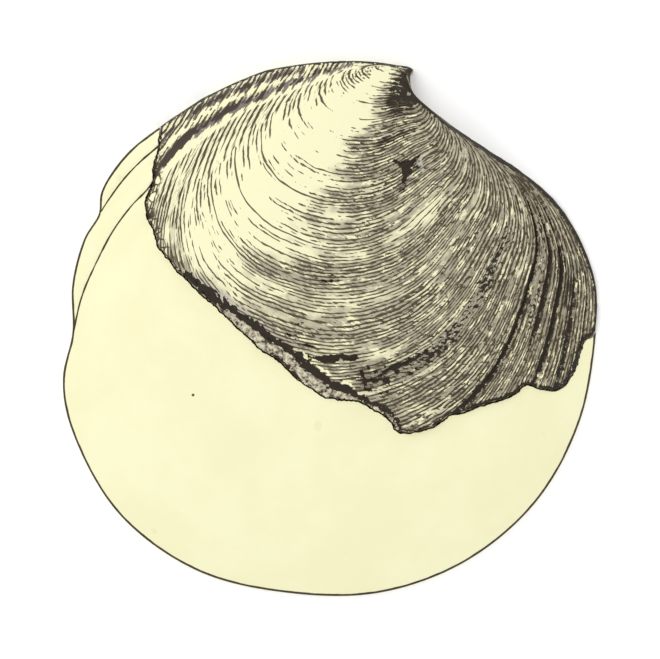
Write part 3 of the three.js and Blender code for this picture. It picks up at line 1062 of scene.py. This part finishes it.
def with_strokes(read, colour, lines, slants, line_noise, tone, uneven):
    """Long light streaks, growth strokes with slanting ones on the folds, flecks and the furrows' painted
    shade.
    """
    light = fade(line_noise(0.4, 0.05, 2.0), 0.56, 0.66)
    unshaded = fade(read("shaded"), 0.0, 1.0, 1.0, 0.3)
    light = times(light, fade(tone, 0.25, 0.45), unshaded)
    colour = blend(times(light, 0.6), colour, CREAM)
    stroke_tone = minus(uneven, times(light, 0.12))
    crowding, full = read("crowding"), read("full")
    strokes, _ = growth_strokes(*lines, stroke_tone, crowding, full)
    slanting, slanting_mixed = growth_strokes(*slants, tone)
    folds = read("folds")
    strokes = plus(times(slanting, folds), times(strokes, minus(1.0, folds)))
    # The strokes' colour darkens with the painted shade
    stroke_colour = blend(fade(uneven, 0.2, 0.55), PALE_STROKE, STROKE)
    stroke_colour = blend(fade(uneven, 0.5, 0.85), stroke_colour, INK)
    colour = blend(strokes, colour, stroke_colour)
    flecks = times(fade(line_noise(0.8, 1.1, 3.0), 0.58, 0.62), fade(uneven, 0.28, 0.5))
    colour = blend(flecks, colour, STROKE)
    # The darkest painted shade, on the furrows' floors
    ragged = spread(slanting_mixed, -1.1, 0.3)
    floor = plus(read("furrow"), ragged, read("solid"))
    return blend(fade(floor, -0.08, 0.08), colour, FURROW_FLOOR_SHADOW)


def with_pits(read, colour, line_noise):
    """Pitted bands: dark pits with pale ground between."""
    pitted = read("pitted")
    colour = blend(fade(pitted, 0.3, 1.0, 0.0, 0.5), colour, PIT_GROUND)
    patchy = spread(line_noise(0.12, 0.12, 2.0), 0.1, 0.36)
    pits = plus(line_noise(0.8, 1.3, 2.0), times(pitted, patchy))
    pits = times(fade(pits, 0.71, 0.75), fade(pitted, 0.1, 0.3))
    return blend(pits, colour, INK)


def with_ledge(read, colour, place):
    """The ledge of a lower layer, speckled, the pale chips, and small cells along the crumbling edge."""
    speckle = pattern(place, 1500, 4.0, 0.7)
    stone = blend(fade(speckle, 0.42, 0.5), LEDGE_STONE, LEDGE_SHADE)
    stone = blend(fade(speckle, 0.545, 0.585), stone, LEDGE_SPECK)
    colour = blend(fade(read("ledge"), -0.05, 0.05), colour, stone)
    chip = plus(read("chips"), spread(speckle, -0.4, 0.3))
    colour = blend(fade(chip, -0.03, 0.03), colour, CHIP)
    borders = fade(cell_borders(place, 620), 0.1, 0.045)
    return blend(times(read("crumbs"), borders), colour, STROKE)


def fossil_material():
    """Cream shell with dark growth lines, painted shade, and a painted highlight on a stripe from the beak.
    """
    material, tree, shader = new_material("fossil shell", 0.7)
    place = object_place(tree)
    read = partial(attribute, tree)
    lines = read("growth"), read("around")
    slants = read("slant"), read("slant_along")
    line_noise = partial(noise_on_lines, *lines)
    slant_noise = partial(noise_on_lines, *slants)
    tone = read("tone")
    cloud = spread(pattern(place, 160, 3.0, 0.6), -0.1, 0.1)
    bands = spread(line_noise(0.14, 0.03, 2.0), -0.14, 0.14)
    # The painted light and shade of the tone, made uneven
    uneven = plus(tone, times(plus(cloud, bands), fade(tone, 0.05, 0.35)))

    colour = shaded_ground(read, line_noise, slant_noise, tone, uneven)
    colour = with_strokes(read, colour, lines, slants, line_noise, tone, uneven)
    colour = with_pits(read, colour, line_noise)
    colour = with_ledge(read, colour, place)
    coarse = spread(pattern(place, 1100, 2.0, 0.6), -0.22, 0.16)
    fine = spread(pattern(place, 3200, 2.0, 0.5), -0.14, 0.12)
    marks = fade(plus(coarse, fine, read("dark")), -0.04, 0.04)
    set_colour(shader, blend(marks, colour, INK))
    add_bump(shader, pattern(place, 3500, 3.0, 0.6), 0.25, 0.0001)
    return material


def broken_material():
    """The broken wall and the inside of the fossil."""
    material, tree, shader = new_material("fossil inside", 0.8)
    grain = pattern(object_place(tree), 900, 5.0, 0.65)
    colour = blend(fade(grain, 0.35, 0.65), INSIDE_DARK, INSIDE_PALE)
    set_colour(shader, colour)
    add_bump(shader, grain, 0.5, 0.0002)
    return material


def restored_material(name, marked):
    """Plain matt cream plaster, with its dark lines and its speck where it is marked."""
    material, tree, shader = new_material(name, 0.85)
    place = object_place(tree)
    cloud = pattern(place, 90, 4.0, 0.6)
    colour = blend(fade(cloud, 0.35, 0.65), PLASTER, PLASTER_SHADE)
    spots = fade(pattern(place, 260, 1.0, 0.5), 0.74, 0.8, 0.0, 0.12)
    colour = blend(spots, colour, PLASTER_SPOT)
    if marked:
        colour = restored_marks(tree, place, colour)
    set_colour(shader, colour)
    add_bump(shader, pattern(place, 1200, 4.0, 0.6), 0.12, 0.0001)
    return material


def restored_marks(tree, place, colour):
    """The speck, the line at the rim and the lines in the creases, over the plaster's colour."""
    crease_half_width = 0.14
    speck = fade(distance_in_plan(place, SPECK), 0.28 * MM, 0.18 * MM)
    colour = blend(speck, colour, PLASTER_SPECK)
    marks = attribute(tree, "dark")
    for name in ("lower_crease", "upper_crease"):
        crease = minus(crease_half_width, calc("ABSOLUTE", attribute(tree, name)))
        marks = calc("MAXIMUM", marks, crease)
    uneven = spread(pattern(place, 500, 2.0, 0.5), -0.04, 0.04)
    return blend(fade(plus(marks, uneven), -0.03, 0.03), colour, PLASTER_LINE)


# The two pieces
def build_piece(name, node, surface, edge, gap, keep, hollow, materials):
    """Cuts one piece out of its valve body along the broken edge and finishes it."""
    grid, values, steps = surface
    thing = valve_body(name, grid, values, steps)
    keys = [key for key in values if key != "outside"]
    source_points, source_values = points_of(thing.data), values_of(thing.data, keys)
    side = prism(name + "_side", edge, gap)
    cut(thing, side, keep)
    cut(thing, hollow, "DIFFERENCE")
    bpy.data.objects.remove(side)
    mesh = thing.data
    inner = mend_values(mesh, source_points, source_values)
    mesh.materials.clear()
    for material in materials:
        mesh.materials.append(material)
    mesh.polygons.foreach_set("material_index", inner.astype(np.int32))
    mesh.polygons.foreach_set("use_smooth", np.ones(len(mesh.polygons), bool))
    mesh.set_sharp_from_angle(angle=math.radians(50))
    mesh.update()
    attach(thing, "root")
    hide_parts(node)


def build_fossil(edge, hollow):
    materials = fossil_material(), broken_material()
    build_piece("fossil", "fossil_shell", fossil_surface(), edge, 0.0, "INTERSECT", hollow, materials)


def build_restored(edge, hollow):
    outside = restored_material("restored plaster", True)
    inside = restored_material("restored inside", False)
    build_piece("restored", "restored_part", restored_surface(), edge, JOINT_GAP, "DIFFERENCE", hollow,
                (outside, inside))


# The studio: a white floor, a white sky, one soft lamp, and a camera straight above
def build_floor():
    corners = [(x, y, -FLOOR_DROP) for x, y in ((-1, -1), (1, -1), (1, 1), (-1, 1))]
    corners = np.array(corners) * (FLOOR_REACH, FLOOR_REACH, 1)
    floor = make_object("floor", make_mesh("floor", corners, [[0, 1, 2, 3]]))
    material, _, shader = new_material("white floor", 0.9)
    set_colour(shader, (1, 1, 1, 1))
    floor.data.materials.append(material)


def build_lights():
    world = bpy.data.worlds.new("studio")
    world.use_nodes = True
    sky = world.node_tree.nodes["Background"]
    sky.inputs["Color"].default_value = (1, 1, 1, 1)
    sky.inputs["Strength"].default_value = SKY_STRENGTH
    bpy.context.scene.world = world
    lamp = bpy.data.lights.new("key", "SUN")
    lamp.angle = LAMP_SPREAD
    lamp.energy = LAMP_STRENGTH
    key = make_object("key", lamp)
    key.location = LAMP_PLACE
    key.rotation_euler = (-Vector(LAMP_PLACE)).to_track_quat("-Z", "Y").to_euler()


def build_camera():
    data = bpy.data.cameras.new("camera")
    data.type = "ORTHO"
    data.ortho_scale = PICTURE_WIDTH * MM_PER_PIXEL * MM
    camera = make_object("camera", data)
    camera.location = (PICTURE_MIDDLE[0] * MM, PICTURE_MIDDLE[1] * MM, CAMERA_HEIGHT)
    bpy.context.scene.camera = camera
    bpy.context.scene.view_settings.view_transform = "Standard"


build_floor()
build_lights()
build_camera()
edge = rough_edge()
hollow = hollow_body()
build_fossil(edge, hollow)
build_restored(edge, hollow)
bpy.data.objects.remove(hollow)
